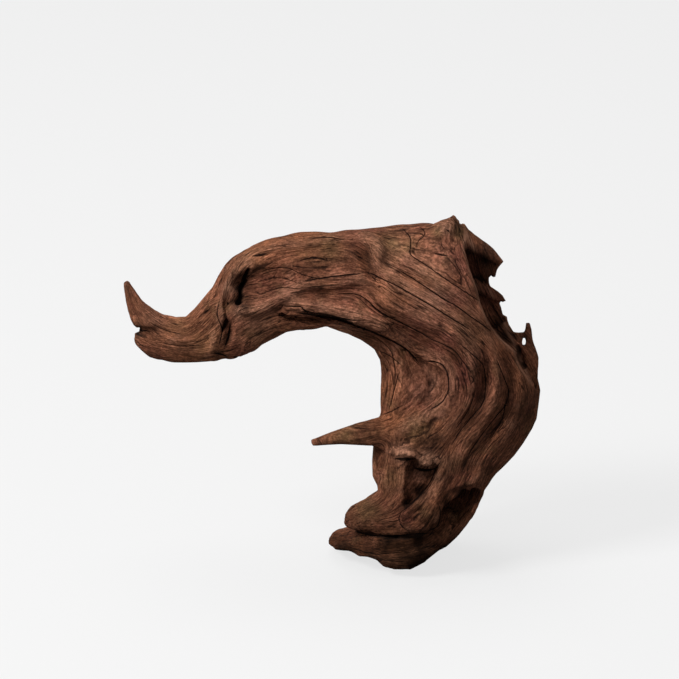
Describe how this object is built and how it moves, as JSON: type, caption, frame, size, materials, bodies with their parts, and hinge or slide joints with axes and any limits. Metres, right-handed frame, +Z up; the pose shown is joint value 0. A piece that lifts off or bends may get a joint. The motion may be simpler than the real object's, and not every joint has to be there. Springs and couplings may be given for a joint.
{
  "type": "driftwood",
  "caption": "Hooked piece of weathered driftwood with a pointed horn, a thick arched arm, a hollow torn shoulder, a side spike and a lobed foot it stands on.",
  "frame": {"origin": "middle of the outer box across and from front to back, at the surface the piece stands on", "axes": "+X towards the torn hollow side and away from the horn, +Y away from the folded front face, +Z up"},
  "size_m": [0.3748, 0.1196, 0.3375],
  "materials": {
    "wood": "dry weathered grain"
  },
  "bodies": {
    "root": {"driftwood": "wood"}
  },
  "joints": []
}
